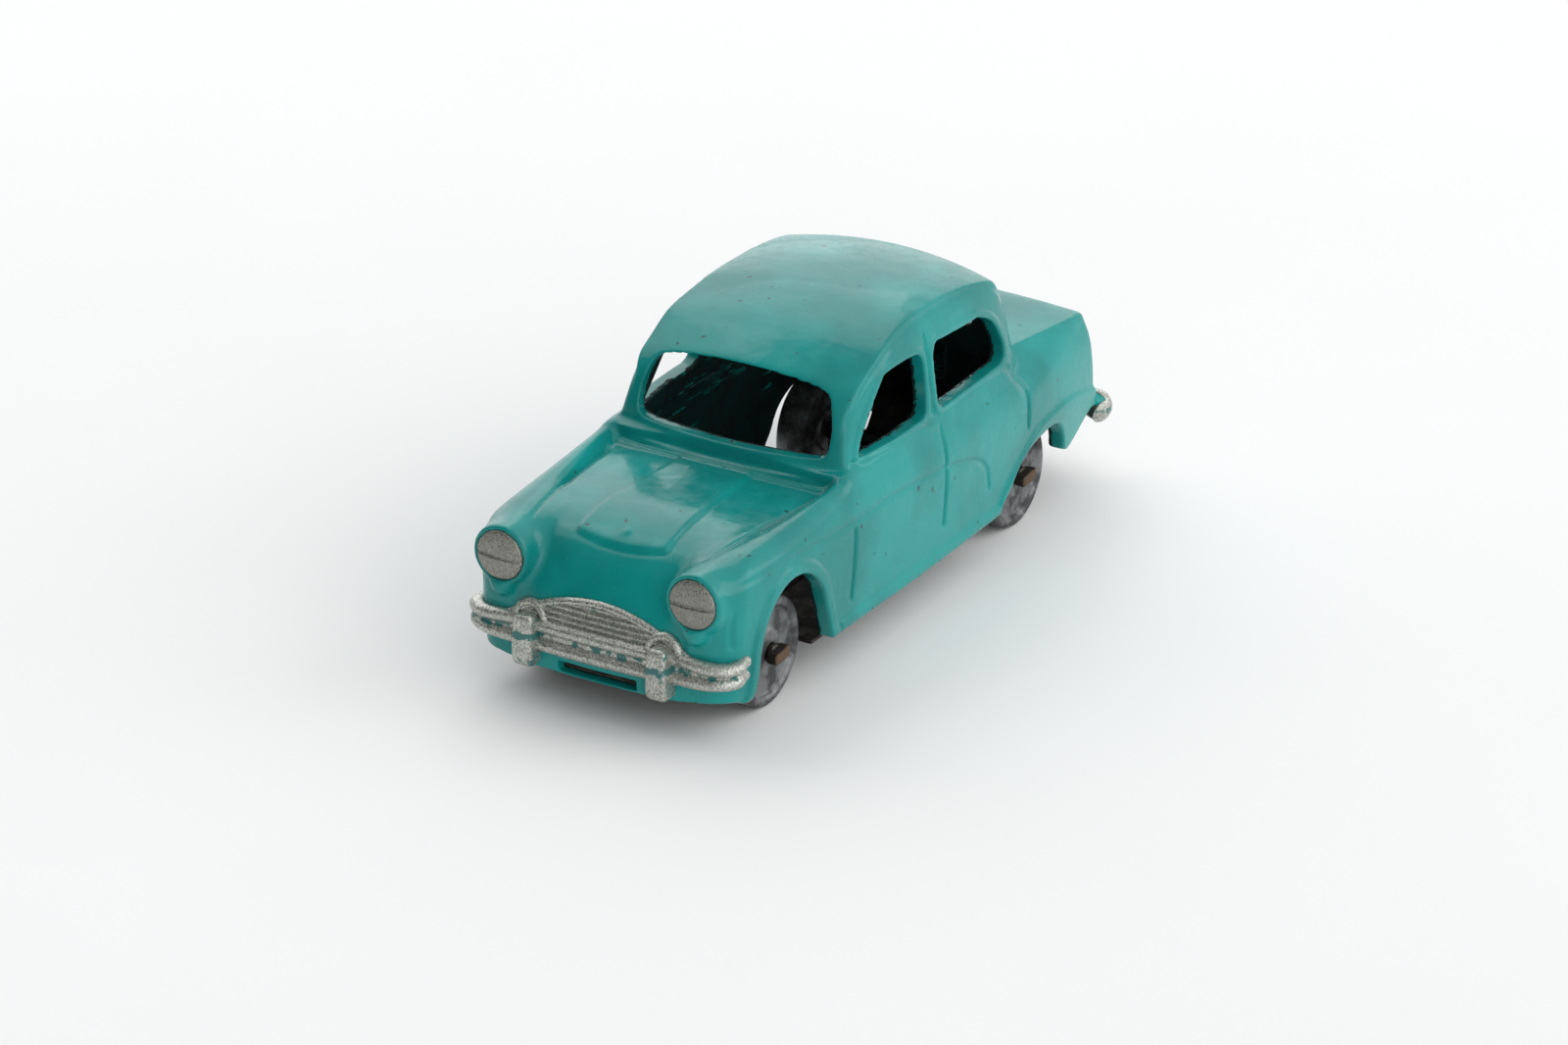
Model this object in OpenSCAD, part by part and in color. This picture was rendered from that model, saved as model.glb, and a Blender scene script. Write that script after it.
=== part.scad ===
// Pocket-size diecast saloon car: a hollow cast body, a pressed base plate held by two
// peened posts, two crimped wire axles and four cast wheels.
// +X points to the front of the car, +Y to its left, +Z up.
// The origin lies on the road, midway along and across the car.

/* [Overall] */
// Length over the overriders
car_length = 60; // [56:1:64]
// Width over the doors
car_width = 22.4; // [22:0.1:23]
// Height of the roof above the road
car_height = 22.8; // [22:0.1:24]
// Thickness of the cast walls
wall = 1.1; // [0.9:0.1:1.2]

/* [Running gear] */
// Distance between the axles
wheelbase = 36.6; // [36:0.2:37]
// Distance of the front axle ahead of the middle of the car
front_axle_x = 20.2; // [20:0.1:20.4]
// Diameter of each wheel
wheel_d = 8.2; // [7.8:0.1:8.4]
// Width of each wheel
wheel_w = 2.5; // [2.3:0.1:2.7]
// Distance over the outer faces of a pair of wheels
wheel_track = 18.6; // [18.2:0.1:18.8]
// Diameter of the axle wire
axle_d = 1.24; // [1.1:0.02:1.3]
// Gap around the axle wire in a wheel and in the base plate
axle_gap = 0.08; // [0.05:0.01:0.1]
// Length of an axle over its crimped ends
axle_length = 20.8; // [20.4:0.1:21]
// Width of the crimped end of an axle
crimp_w = 1.9; // [1.7:0.1:2.1]
// Thickness of the crimped end of an axle
crimp_t = 0.8; // [0.7:0.1:0.9]

/* [Base plate] */
// Thickness of the pressed plate
plate_t = 0.4; // [0.3:0.05:0.5]
// Diameter of the posts that go through the plate
post_d = 2; // [1.8:0.1:2.2]
// Diameter of the peened heads
rivet_d = 3.2; // [3:0.1:3.6]
// Thickness of the peened heads
rivet_t = 0.5; // [0.4:0.1:0.6]

/* [Trim] */
// Diameter of the headlamp lenses
headlamp_d = 3.8; // [3.6:0.1:3.9]
// Diameter of the tail lamp lenses
tail_lamp_d = 1.9; // [1.7:0.1:2]
// Number of bars across the grille
grille_bars = 4; // [3:1:5]

/* [Hidden] */

enamel = [0.25, 0.6, 0.57];
silver = [0.68, 0.68, 0.64];
bare_metal = [0.36, 0.36, 0.37];
dark_steel = [0.26, 0.23, 0.21];

// The outlines below belong to a car 60 x 22.4 x 22.8 mm, and are stretched to the size asked for.
sx = car_length / 60;
sy = car_width / 22.4;
sz = car_height / 22.8;
half_l = 30 * sx;
far = 40;
// Distance that one solid sinks into another that it grows out of
sink = 0.2;
// Gap between parts that lie side by side
gap = 0.05;
bend_sides = 28;

wheel_r = wheel_d / 2;
axle_r = axle_d / 2;
axle_z = wheel_r;
rear_axle_x = front_axle_x - wheelbase;
wheel_mid_y = (wheel_track - wheel_w) / 2;
bore_r = axle_r + axle_gap;

// Base plate: height of its underside, low between the axles and raised under the tail
plate_z = 2.45;
tail_plate_z = 4.9;
// Ears of the plate that carry the axles
ear_y = 5.9;
ear_t = 0.6;
ear_w = 3;
// Posts of the body, front and rear: place, height of the plate, and height of the roof they hang from
post_x = [23.5 * sx, -24.6 * sx];
// The plate is dished up around the front post, so that its head stays clear of the ground
dish_depth = rivet_t + 0.1;
dish_r = 3;
post_plate_z = [plate_z + dish_depth, tail_plate_z];
post_top_z = [12 * sz, 13.2 * sz];

// Headlamps: middle of the lens, size of the pod around it, and how far both lean back
lamp_x = 28.5 * sx;
lamp_y = 7.85 * sy;
lamp_z = 10.9 * sz;
lamp_lean = 2;
lamp_t = 0.5;
pod_r = 2.25;

// Bumpers: heights of the two ribs, their size, and the places of the overriders
rib_z = [4.75 * sz, 6.15 * sz];
rib_r = 0.62;
bumper_t = 0.55;
overrider_y = 5.45 * sy;
overrider_w = 1.7;
overrider_z = [3.05 * sz, 6.1 * sz];
rear_rib_z = 5.5 * sz;
rear_bumper_t = 0.8;
// Round ends of the rear bumper
bumper_end = [-28.2 * sx, 9.4 * sy, 5.4 * sz];
bumper_end_r = 1.4;
// Tail lamps: middle of the lens and how far it looks up
tail_lamp = [-27.9 * sx, 8.6 * sy, 9.2 * sz];
tail_lamp_lean = 18;
tail_lamp_t = 0.4;

// Side view of the lower body, from the valance over the bonnet, waist and boot to the tail
nose_outline = [[28.5, 2.55], [28.75, 4], [28.75, 6.5], [28.6, 8.5], [27.9, 10.5], [26.8, 12.1], [25.2, 13.1]];
waist_outline = [[22, 13.4], [17, 13.7], [12.5, 14.1], [9, 14.8], [0, 14.9], [-8, 14.5], [-14, 14.2], [-19, 14.1]];
fin_outline = [[-23, 14.1], [-25.8, 14], [-26.7, 13.3], [-27.1, 10.8], [-27.7, 8], [-28.6, 6.6], [-28.6, 5.4]];
sill_outline = [[-25, 5.7], [-21.9, 4.3], [-19.5, 3.2], [-10.9, 3.1], [13.7, 3], [24.4, 2.3]];
// Plan of the lower body, left half, from nose to tail
body_plan = [
    [28.75, 0], [28.7, 4], [28.4, 7], [28, 8.8], [27.4, 9.9], [26.4, 10.6], [24, 10.95], [14, 11.15], [4, 11.2],
    [-6, 11.15], [-16, 10.8], [-23, 10.35], [-27, 9.9], [-28.4, 9], [-28.7, 6], [-28.8, 0]
];
// Cross-section of the lower body, left half, from sill to middle
body_section = [
    [10.7, 2], [10.75, 3.2], [11, 6], [11.2, 9], [11.15, 11], [10.8, 12.6], [10.1, 13.9], [9, 14.6], [6, 15], [0, 15.2]
];
// Side view of the cabin, from the cowl over the roof to the boot
cabin_outline = [
    [10.9, 8], [10.8, 13.6], [10.2, 14.9], [9.3, 17], [8.3, 19.3], [7, 20.8], [4.8, 21.7], [1.5, 22.5], [-2, 22.8],
    [-6, 22.65], [-10, 22.2], [-13.2, 21.3], [-14.8, 19.5], [-16, 16.6], [-16.8, 13.5], [-17.2, 8]
];
// Plan of the cabin, left half, from front to rear
cabin_plan = [
    [10.9, 0], [10.7, 4], [10.2, 7.4], [9.4, 9], [7.6, 9.85], [2, 10.2], [-6, 10.1], [-12, 9.6], [-15.6, 8.2],
    [-17, 5], [-17.2, 0]
];
// Cross-section of the cabin, left half, from waist to roof
cabin_section = [
    [10.3, 8], [10.2, 14], [9.75, 16.5], [9.3, 19.2], [8.95, 20.5], [8.1, 21.5], [6.5, 22.15], [3.5, 22.6], [0, 22.8]
];
// Window corners: the windscreen and rear window as seen from the front, the others from the left
windscreen_corners = [[6.8, 15.65], [6.5, 18.45]];
back_window_corners = [[5.05, 16.3], [4.6, 18.4]];
front_window_corners = [[6.7, 15.6], [3.7, 18.6], [0.1, 18.5], [0.4, 15.6]];
rear_window_corners = [[-3.3, 15.8], [-3.7, 18.5], [-10.2, 18.1], [-11.9, 15.9]];
window_r = 1;
// Wheel arches in side view
front_arch = [[24.1, -1], [24.2, 6], [23.3, 8.8], [20.6, 10.1], [17.6, 9.4], [15.7, 6.9], [13.7, 2.9], [12.8, -1]];
rear_arch = [[-10.9, -1], [-11.1, 3.4], [-12.6, 5.2], [-14.4, 6.9], [-19.2, 7.4], [-20.2, 5.6], [-20.7, -1]];

// A point on the smooth curve through b and c, at share t of the way from b to c
function between(a, b, c, d, t) =
    0.5 * (2 * b + (c - a) * t + (2 * a - 5 * b + 4 * c - d) * t * t + (3 * b - a - 3 * c + d) * t * t * t);

// The smooth curve through points p, with n steps from each to the next
function curve(p, n = 3) = let (last = len(p) - 1) concat(
    [for (i = [0 : last - 1], k = [0 : n - 1])
        between(p[max(i - 1, 0)], p[i], p[i + 1], p[min(i + 2, last)], k / n)],
    [p[last]]);

function stretched(p, a, b) = [for (q = p) [q[0] * a, q[1] * b]];
function reversed(p) = [for (i = [len(p) - 1 : -1 : 0]) p[i]];
// A half outline together with its mirror image
function with_left_mirror(p) = concat(p, [for (q = reversed(p)) [-q[0], q[1]]]);
function with_right_mirror(p) = concat(p, [for (q = reversed(p)) [q[0], -q[1]]]);

// Solid with the same outline in side view all the way across the car
module seen_from_side(points) {
    rotate([90, 0, 0])
        linear_extrude(far, center = true)
            polygon(stretched(points, sx, sz));
}

// Solid whose side view, plan and cross-section are the three children, each drawn in by shrink
module from_views(shrink) {
    intersection() {
        rotate([90, 0, 0])
            linear_extrude(far, center = true)
                offset(delta = -shrink) children(0);
        translate([0, 0, -far / 2])
            linear_extrude(2 * far)
                offset(delta = -shrink) children(1);
        rotate([90, 0, 90])
            linear_extrude(2 * far, center = true)
                offset(delta = -shrink) children(2);
    }
}

module body_plan_shape() {
    polygon(stretched(with_right_mirror(curve(body_plan)), sx, sy));
}

// Lower body, drawn in by shrink, with its underside lowered by deepened
module lower_form(shrink = 0, deepened = 0) {
    top = curve(concat(nose_outline, waist_outline, fin_outline));
    bottom = [for (p = sill_outline) [p[0], p[1] - deepened]];
    foot = [body_section[0][0], body_section[0][1] - deepened - 1];
    from_views(shrink) {
        polygon(stretched(concat(top, bottom), sx, sz));
        body_plan_shape();
        polygon(stretched(with_left_mirror(concat([foot], curve(body_section))), sy, sz));
    }
}

module cabin_form(shrink = 0) {
    from_views(shrink) {
        polygon(stretched(curve(cabin_outline), sx, sz));
        polygon(stretched(with_right_mirror(curve(cabin_plan)), sx, sy));
        polygon(stretched(with_left_mirror(curve(cabin_section)), sy, sz));
    }
}

// Slab whose edges are rounded by balls at the corners given, at half widths y0 (low) and y1 (high)
module sloped_slab(corners, y0, y1, r) {
    hull()
        for (c = corners, side = [-1, 1], level = [0, 1])
            translate([c[0] * sx, side * (level == 0 ? y0 : y1) * sy, (c[1] + level * 4) * sz])
                sphere(r, $fn = 12);
}

// Space over the bonnet between the wings, grown all round
module bonnet_valley(grown = 0) {
    sloped_slab([[27, 13.2], [11.3, 13.5]], 6.9, 8.6, 0.4 + grown);
}

module bonnet_panel() {
    hull()
        for (p = [[24.9, 2.9], [12, 5.2]], side = [-1, 1])
            translate([p[0] * sx, side * p[1] * sy, 12.6 * sz])
                cylinder(r = 0.9, h = 0.7, $fn = bend_sides);
}

module headlamp_pod(side) {
    hull() {
        translate([lamp_x, side * lamp_y, lamp_z])
            rotate([0, 90 - lamp_lean, 0])
                translate([0, 0, -1.2])
                    cylinder(r = pod_r, h = 1.15, $fn = bend_sides);
        translate([lamp_x - 7 * sx, side * (lamp_y + 0.4), lamp_z - 0.1])
            rotate([0, 90, 0])
                cylinder(r = pod_r, h = 0.5, $fn = bend_sides);
    }
}

module bumper_end_ball(side, grown = 0) {
    translate([bumper_end[0], side * bumper_end[1], bumper_end[2]])
        sphere(bumper_end_r + grown, $fn = bend_sides);
}

// Disc or stub of diameter d between depths z0 and z1 along the way a tail lamp looks
module along_tail_lamp(side, d, z0, z1) {
    translate([tail_lamp[0], side * tail_lamp[1], tail_lamp[2]])
        rotate([0, tail_lamp_lean - 90, 0])
            translate([0, 0, z0])
                cylinder(d = d, h = z1 - z0, $fn = bend_sides);
}

module body_outside() {
    difference() {
        union() {
            lower_form();
            for (side = [-1, 1])
                headlamp_pod(side);
        }
        bonnet_valley();
    }
    bonnet_panel();
    cabin_form();
    for (side = [-1, 1]) {
        bumper_end_ball(side);
        along_tail_lamp(side, tail_lamp_d + 0.5, -1, -gap);
    }
}

module body_hollow() {
    // The casting is open below
    difference() {
        lower_form(wall, 8);
        bonnet_valley(wall);
    }
    cabin_form(wall);
}

// Rounded opening through the car along X or Y, with the corners given in the view along it
module window_across(corners) {
    hull()
        for (c = corners)
            translate([c[0] * sx, 0, c[1] * sz])
                rotate([90, 0, 0])
                    cylinder(r = window_r, h = far, center = true, $fn = bend_sides);
}

module window_ahead(corners, x) {
    hull()
        for (c = corners, side = [-1, 1])
            translate([x * sx, side * c[0] * sy, c[1] * sz])
                rotate([0, 90, 0])
                    cylinder(r = window_r, h = 9, center = true, $fn = bend_sides);
}

module windows() {
    window_ahead(windscreen_corners, 9);
    window_ahead(back_window_corners, -15);
    window_across(front_window_corners);
    window_across(rear_window_corners);
}

module valance_slot() {
    translate([26 * sx, -3.2 * sy, 2.75 * sz])
        cube([6, 6.4 * sy, 0.85 * sz]);
}

// Post with a shoulder that the plate is drawn up to and a peened head below it
module post(i) {
    z = post_plate_z[i];
    translate([post_x[i], 0, 0]) {
        translate([0, 0, z - rivet_t])
            cylinder(d = rivet_d, h = rivet_t, $fn = bend_sides);
        translate([0, 0, z - sink])
            cylinder(d = post_d, h = plate_t + 2 * sink, $fn = bend_sides);
        translate([0, 0, z + plate_t])
            cylinder(d = post_d + 1, h = post_top_z[i] - z - plate_t, $fn = bend_sides);
    }
}

module body_casting() {
    color(enamel)
        union() {
            difference() {
                body_outside();
                body_hollow();
                windows();
                seen_from_side(curve(front_arch));
                seen_from_side(curve(rear_arch));
                valance_slot();
            }
            for (i = [0, 1])
                post(i);
        }
}

// One of the two ears that carry an axle, folded up from the plate
module ear(x, side) {
    translate([x, side * ear_y, 0])
        difference() {
            union() {
                translate([-ear_w / 2, -ear_t / 2, plate_z + plate_t / 2])
                    cube([ear_w, ear_t, axle_z - plate_z - plate_t / 2]);
                translate([0, 0, axle_z])
                    rotate([90, 0, 0])
                        cylinder(d = ear_w, h = ear_t, center = true, $fn = bend_sides);
            }
            translate([0, 0, axle_z])
                rotate([90, 0, 0])
                    cylinder(r = bore_r, h = far, center = true, $fn = bend_sides);
        }
}

// Side view of the plate: low from the nose to the rear axle, then stepped up under the tail
module plate_profile() {
    line = [[26.8, plate_z], [-20.4, plate_z], [-22.4, tail_plate_z], [-27, tail_plate_z]];
    polygon(concat(
        [for (p = line) [p[0] * sx, p[1]]],
        [for (p = reversed(line)) [p[0] * sx, p[1] + plate_t]]));
}

// Dished ring around the front post, its rim sunk into the plate
module plate_dish() {
    rim_z = [plate_z + gap, plate_z + plate_t - gap];
    floor_z = [plate_z + dish_depth, plate_z + dish_depth + plate_t];
    floor_r = dish_r - 0.9;
    translate([post_x[0], 0, 0])
        rotate_extrude($fn = bend_sides)
            polygon([
                [post_d / 2 + gap, floor_z[0]], [floor_r, floor_z[0]], [dish_r - 0.4, rim_z[0]], [dish_r, rim_z[0]],
                [dish_r, rim_z[1]], [dish_r - 0.2, rim_z[1]], [floor_r + 0.2, floor_z[1]],
                [post_d / 2 + gap, floor_z[1]]
            ]);
}

// Plan of the plate, left half, drawn in where the wheels are
plate_plan = [[27, 0], [27, 6], [14.6, 6], [14.6, 9.4], [-10.6, 9.4], [-10.6, 6], [-22, 6], [-22, 8], [-27, 8], [-27, 0]];

module base_plate() {
    color(bare_metal)
        union() {
            difference() {
                intersection() {
                    rotate([90, 0, 0])
                        linear_extrude(far, center = true)
                            plate_profile();
                    linear_extrude(far)
                        polygon(stretched(with_right_mirror(plate_plan), sx, sy));
                }
                translate([post_x[0], 0, 0])
                    cylinder(r = dish_r - 0.15, h = far, $fn = bend_sides);
                translate([post_x[1], 0, 0])
                    cylinder(d = post_d + 2 * gap, h = far, $fn = bend_sides);
            }
            plate_dish();
            for (x = [front_axle_x, rear_axle_x], side = [-1, 1])
                ear(x, side);
        }
}

// Wire axle, its ends flattened to keep the wheels on
module axle(x) {
    color(dark_steel)
        translate([x, 0, axle_z])
            rotate([90, 0, 0]) {
                cylinder(r = axle_r, h = wheel_track + 0.5, center = true, $fn = bend_sides);
                for (side = [-1, 1])
                    translate([-crimp_w / 2, -crimp_t / 2, side > 0 ? wheel_track / 2 + 0.2 : -axle_length / 2])
                        cube([crimp_w, crimp_t, (axle_length - wheel_track) / 2 - 0.2]);
            }
}

// Cast wheel with a raised rim and hub on its outer face
module wheel(x, side) {
    half_w = wheel_w / 2;
    color(bare_metal)
        translate([x, side * wheel_mid_y, axle_z])
            rotate([-90 * side, 0, 0])
                rotate_extrude($fn = 64)
                    polygon([
                        [bore_r, -half_w], [wheel_r - 0.3, -half_w], [wheel_r, -half_w + 0.3], [wheel_r, half_w - 0.3],
                        [wheel_r - 0.3, half_w], [wheel_r - 0.9, half_w], [wheel_r - 1.1, half_w - 0.4],
                        [1.7, half_w - 0.3], [1.5, half_w], [bore_r, half_w]
                    ]);
}

// Band round the body between half widths, thickness t outside the plan of the body
module plan_band(t) {
    difference() {
        offset(delta = t) body_plan_shape();
        offset(delta = gap) body_plan_shape();
    }
}

// Two ribs joined by a web, round the nose from wheel arch to wheel arch
module front_bumper() {
    color(silver)
        intersection() {
            union() {
                for (z = rib_z)
                    translate([0, 0, z - rib_r])
                        linear_extrude(2 * rib_r)
                            plan_band(bumper_t);
                translate([0, 0, rib_z[0]])
                    linear_extrude(rib_z[1] - rib_z[0])
                        plan_band(bumper_t - 0.25);
            }
            translate([24.4 * sx, -car_width / 2, 0])
                cube([far, car_width, far]);
        }
}

module front_overrider(side) {
    back_x = 28.7 * sx + bumper_t + gap;
    color(silver)
        translate([back_x, side * overrider_y - overrider_w / 2, overrider_z[0]])
            cube([half_l - back_x, overrider_w, overrider_z[1] - overrider_z[0]]);
}

// Wide lens-shaped outline in front view, between heights z0 and z1
module grille_lens(z0, z1) {
    half_w = 7 * sy;
    rise = (z1 - z0) / 2;
    r = (half_w * half_w + rise * rise) / (2 * rise);
    intersection_for (up = [-1, 1])
        translate([0, (z0 + z1) / 2 + up * (r - rise)])
            circle(r, $fn = 180);
}

// Backing plate with bars, bent to the nose
module grille() {
    z0 = rib_z[1] + rib_r + gap;
    z1 = 8.5 * sz;
    pitch = (z1 - z0) / grille_bars;
    color(silver)
        intersection() {
            rotate([90, 0, 90])
                linear_extrude(far)
                    grille_lens(2 * z0 - z1, z1);
            union() {
                translate([0, 0, z0])
                    linear_extrude(z1 - z0)
                        plan_band(0.25);
                for (i = [0 : grille_bars - 1])
                    translate([0, 0, z0 + pitch * i])
                        linear_extrude(pitch * 0.6)
                            plan_band(0.5);
            }
        }
}

module headlamp(side) {
    color(silver)
        translate([lamp_x, side * lamp_y, lamp_z])
            rotate([0, 90 - lamp_lean, 0])
                cylinder(d = headlamp_d, h = lamp_t, $fn = bend_sides);
}

// Rib across the tail, with a cap over the outer side of each round end
module rear_bumper() {
    color(silver)
        difference() {
            intersection() {
                union() {
                    translate([0, 0, rear_rib_z - 0.8])
                        linear_extrude(1.6)
                            plan_band(rear_bumper_t);
                    for (side = [-1, 1])
                        bumper_end_ball(side, 0.3);
                }
                translate([-far, -far / 2, 0])
                    cube([far - 28.4 * sx, far, far]);
            }
            linear_extrude(far)
                offset(delta = gap) body_plan_shape();
            for (side = [-1, 1])
                bumper_end_ball(side, gap);
        }
}

module rear_overrider(side) {
    front_x = -28.8 * sx - rear_bumper_t - gap;
    color(silver)
        translate([-half_l, side * overrider_y - overrider_w / 2, 4.2 * sz])
            cube([half_l + front_x, overrider_w, 3 * sz]);
}

module tail_lamp(side) {
    color(silver)
        along_tail_lamp(side, tail_lamp_d, 0, tail_lamp_t);
}

body_casting();
base_plate();
axle(front_axle_x);  // front_axle
axle(rear_axle_x);  // rear_axle
wheel(front_axle_x, 1);  // wheel_front_left
wheel(front_axle_x, -1);  // wheel_front_right
wheel(rear_axle_x, 1);  // wheel_rear_left
wheel(rear_axle_x, -1);  // wheel_rear_right
front_bumper();
front_overrider(1);  // front_overrider_left
front_overrider(-1);  // front_overrider_right
grille();
headlamp(1);  // headlamp_left
headlamp(-1);  // headlamp_right
rear_bumper();
rear_overrider(1);  // rear_overrider_left
rear_overrider(-1);  // rear_overrider_right
tail_lamp(1);  // tail_lamp_left
tail_lamp(-1);  // tail_lamp_right
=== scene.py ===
"""Looks of the pocket-size diecast saloon car.

The cast body and everything raised on it are described as distance fields in millimetres, in the
row frame: +X to the front of the car, +Y to its left, +Z up, z = 0 on the road. A field is
negative inside the metal. Both halves of the car are alike, so only the left half is worked out.
"""

import math
from functools import partial

import bpy
import numpy as np
import openvdb
from mathutils import Matrix, Vector


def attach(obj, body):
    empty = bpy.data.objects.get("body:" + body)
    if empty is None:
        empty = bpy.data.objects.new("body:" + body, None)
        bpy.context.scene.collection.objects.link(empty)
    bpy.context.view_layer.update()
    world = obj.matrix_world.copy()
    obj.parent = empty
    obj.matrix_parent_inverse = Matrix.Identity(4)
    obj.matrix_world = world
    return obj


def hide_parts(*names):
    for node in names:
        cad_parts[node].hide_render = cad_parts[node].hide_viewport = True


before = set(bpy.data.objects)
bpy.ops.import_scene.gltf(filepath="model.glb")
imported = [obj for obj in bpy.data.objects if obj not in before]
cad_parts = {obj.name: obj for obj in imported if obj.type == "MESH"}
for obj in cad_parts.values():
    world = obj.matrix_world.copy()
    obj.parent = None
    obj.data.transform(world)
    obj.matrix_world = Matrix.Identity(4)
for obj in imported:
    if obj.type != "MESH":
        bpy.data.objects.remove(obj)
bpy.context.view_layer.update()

MM = 0.001

# Grid step in mm for each kind of piece, and the most triangles it may have
BODY_STEP = 0.15
TRIM_STEP = 0.07
PLATE_STEP = 0.1
BODY_TRIANGLES = 180000
PLATE_TRIANGLES = 60000
TRIM_TRIANGLES = 40000
AXLE_TRIANGLES = 12000

# Running gear
AXLE_X = {"front": 20.2, "rear": -16.4}
AXLE_Z = 4.1
AXLE_R = 0.62
AXLE_END = 10.4
# The wire is round as far as this, and its hammered ends have this half thickness
WIRE_END = 9.6
FLAT_HALF = 0.42
WHEEL_R = 4.1
WHEEL_IN, WHEEL_OUT = 6.8, 9.3
BORE_R = AXLE_R + 0.08
WHEEL_SHARP_ANGLE = 35

# Casting: thickness of the wall, and the share of it behind which the inner faces are painted dark as the
# shade of the hollow inside
WALL = 1.15
SHADED_INSIDE_FROM = 0.68
# How far in the openings are cut: side windows, wheel arches, windscreen, rear window
SIDE_CUT_Y, ARCH_CUT_Y = 6, 5.5
SCREEN_CUT_X, BACK_CUT_X = 4, -12

# Crowns and roundings of the plain body, and the ends of the bonnet and of its raised panel
BONNET_CROWN, BOOT_CROWN, WING_CROWN = 0.004, 0.0025, 0.06
WING_CREST_Y = 9.6
END_BOW = 0.006
NOSE_ROUND, TAIL_ROUND = 1.7, 0.6
BONNET_BACK, BONNET_FRONT = 12.4, 26.2
PANEL_BACK, PANEL_FRONT = 11.9, 25.75
PANEL_HALF = 3.0
PANEL_RISE_BACK, PANEL_RISE_FRONT = 0.2, 0.46

# Headlamps, their pods and the swelling of the wing below each
LAMP_X, LAMP_Y, LAMP_Z = 28.6, 7.85, 10.7
LAMP_R = 1.87
LAMP_SEAT = 0.25
POD_R = 2.22
POD_BACK = 19.5
LAMP_BLISTER = (28.25, 7.9, 8.35)
LAMP_BLISTER_R = 0.8

# Bumpers, overriders and grille
LOWER_RIB, UPPER_RIB = 4.65, 6.1
RIB_HOLLOW = 5.4
RIB_R = 0.5
BUMPER_BACK = 25.6
WEB_HALF_HEIGHT = 0.7
LOOP_Z, LOOP_R, LOOP_BEAD_R = 6.3, 1.2, 0.3
OVERRIDER_Y = 5.45
OVERRIDER_HALF = 0.82
OVERRIDER_BACK, OVERRIDER_FRONT = 28.0, 29.8
GRILLE_HALF = 7.1
GRILLE_LOW, GRILLE_TOP = 6.5, 8.55
BAR_PITCH = 0.42
BAR_DEPTH = 0.19
REAR_RIB = 5.5
REAR_RIB_R = 0.8
REAR_RIB_HALF = 8.9
TAIL_BALL = (-28.4, 9.4, 5.4)
TAIL_BALL_R = 1.22
# The silver on each ball also covers its outer end: direction, and distance from its middle
CAP_TOWARDS, CAP_FROM = (0.3, 0.95, -0.25), 0.8
TAIL_LAMP = (-27.5, 8.3, 9.2)
TAIL_LAMP_R = 0.95
TAIL_LAMP_RISE = 0.42
TAIL_POD_HALF_LENGTH = 0.9
# Slot in the panel below the front bumper
SLOT_HALF, SLOT_BACK = 3.2, 26
SLOT_Z, SLOT_HALF_HEIGHT = 3.22, 0.42

# Base plate: height of its underside, thickness, and (rear end, front end, half width) of its panels
PLATE_Z, PLATE_T = 2.45, 0.4
TAIL_PLATE_Z = 4.9
PLATE_PANELS = [(-10.6, 14.6, 9.4), (-22.5, 26.8, 6.0), (-27, -21.5, 8.0)]
DISH_DEPTH = 0.6
RIVET_HOLE_R = 1.05
EAR_Y, EAR_HALF, EAR_R = 5.9, 0.3, 1.5
# The two posts that the plate is riveted to: (place, height of the plate there), and their three radii
POSTS = [(23.5, PLATE_Z + DISH_DEPTH), (-24.6, TAIL_PLATE_Z)]
POST_TOP = 12.5
SHANK_R, NECK_R, HEAD_R = 1.45, 0.95, 1.6
# Heights from the underside of the plate: end of the shank, end of the neck, middle of the head
SHANK_END, NECK_END, HEAD_MIDDLE = 0.42, -0.3, -0.25
HEAD_HALF_HEIGHT = 0.22

# Lines raised on the casting or pressed into it: (height, width)
SEAM_GROOVE = (0.36, 0.22)
COWL_RIDGE = (0.18, 0.17)
SWAGE_GROOVE = (0.17, 0.16)
DOOR_GROOVE = (0.27, 0.15)
CORNER_GROOVE = (0.18, 0.15)
DRIP_RIDGE = (0.34, 0.2)
DRIP_GROOVE = (0.12, 0.2)
BELT_GROOVE = (0.2, 0.17)
PILLAR_GROOVE = (0.16, 0.15)
LAMP_SEAM = (0.1, 0.09)
BADGE = (0.22, 0.34)
BADGE_X = 24.7
COWL_RIDGES_X = (12.35, 11.75)
LIP_RISE = 0.24
WINDOW_RIM_RISE = 0.13

# Paint colours
ENAMEL_DEEP = (0.004, 0.2, 0.187)
ENAMEL_PALE = (0.007, 0.28, 0.262)
ENAMEL_SPECK = (0.02, 0.06, 0.055)
ENAMEL_GRIME = (0.03, 0.16, 0.15)
# Painted shade for the inside of the hollow casting: two near-black tones, mottled with dust
INNER_SHADE = (0.002, 0.03, 0.028)
INNER_DUSTY_SHADE = (0.008, 0.012, 0.012)
RUBBED_ENAMEL = (0.03, 0.15, 0.14)
SILVER_PALE = (0.7, 0.71, 0.65)
SILVER_DARK = (0.22, 0.23, 0.21)
LENS_PALE = (0.34, 0.34, 0.3)
LENS_DARK = (0.15, 0.155, 0.135)

# Bare metal and paper
WHEEL_PALE = (0.21, 0.215, 0.22)
WHEEL_DARK = (0.07, 0.07, 0.072)
PLATE_PALE = (0.05, 0.042, 0.036)
PLATE_DARK = (0.018, 0.016, 0.014)
WIRE_STEEL = (0.05, 0.045, 0.04)
WIRE_RUST = (0.1, 0.06, 0.035)
PAPER_WARM = (0.84, 0.85, 0.85)
PAPER_COOL = (0.88, 0.885, 0.89)

# Camera at the photograph's angle, in degrees, looking at a place on the car in mm
CAMERA_AZIMUTH, CAMERA_ELEVATION, CAMERA_ROLL = 29.68, 24.08, 1.02
CAMERA_LENS = 157.9
CAMERA_DISTANCE = 0.5
CAMERA_TARGET = (3.015, 0.374, 5.439)

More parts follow.
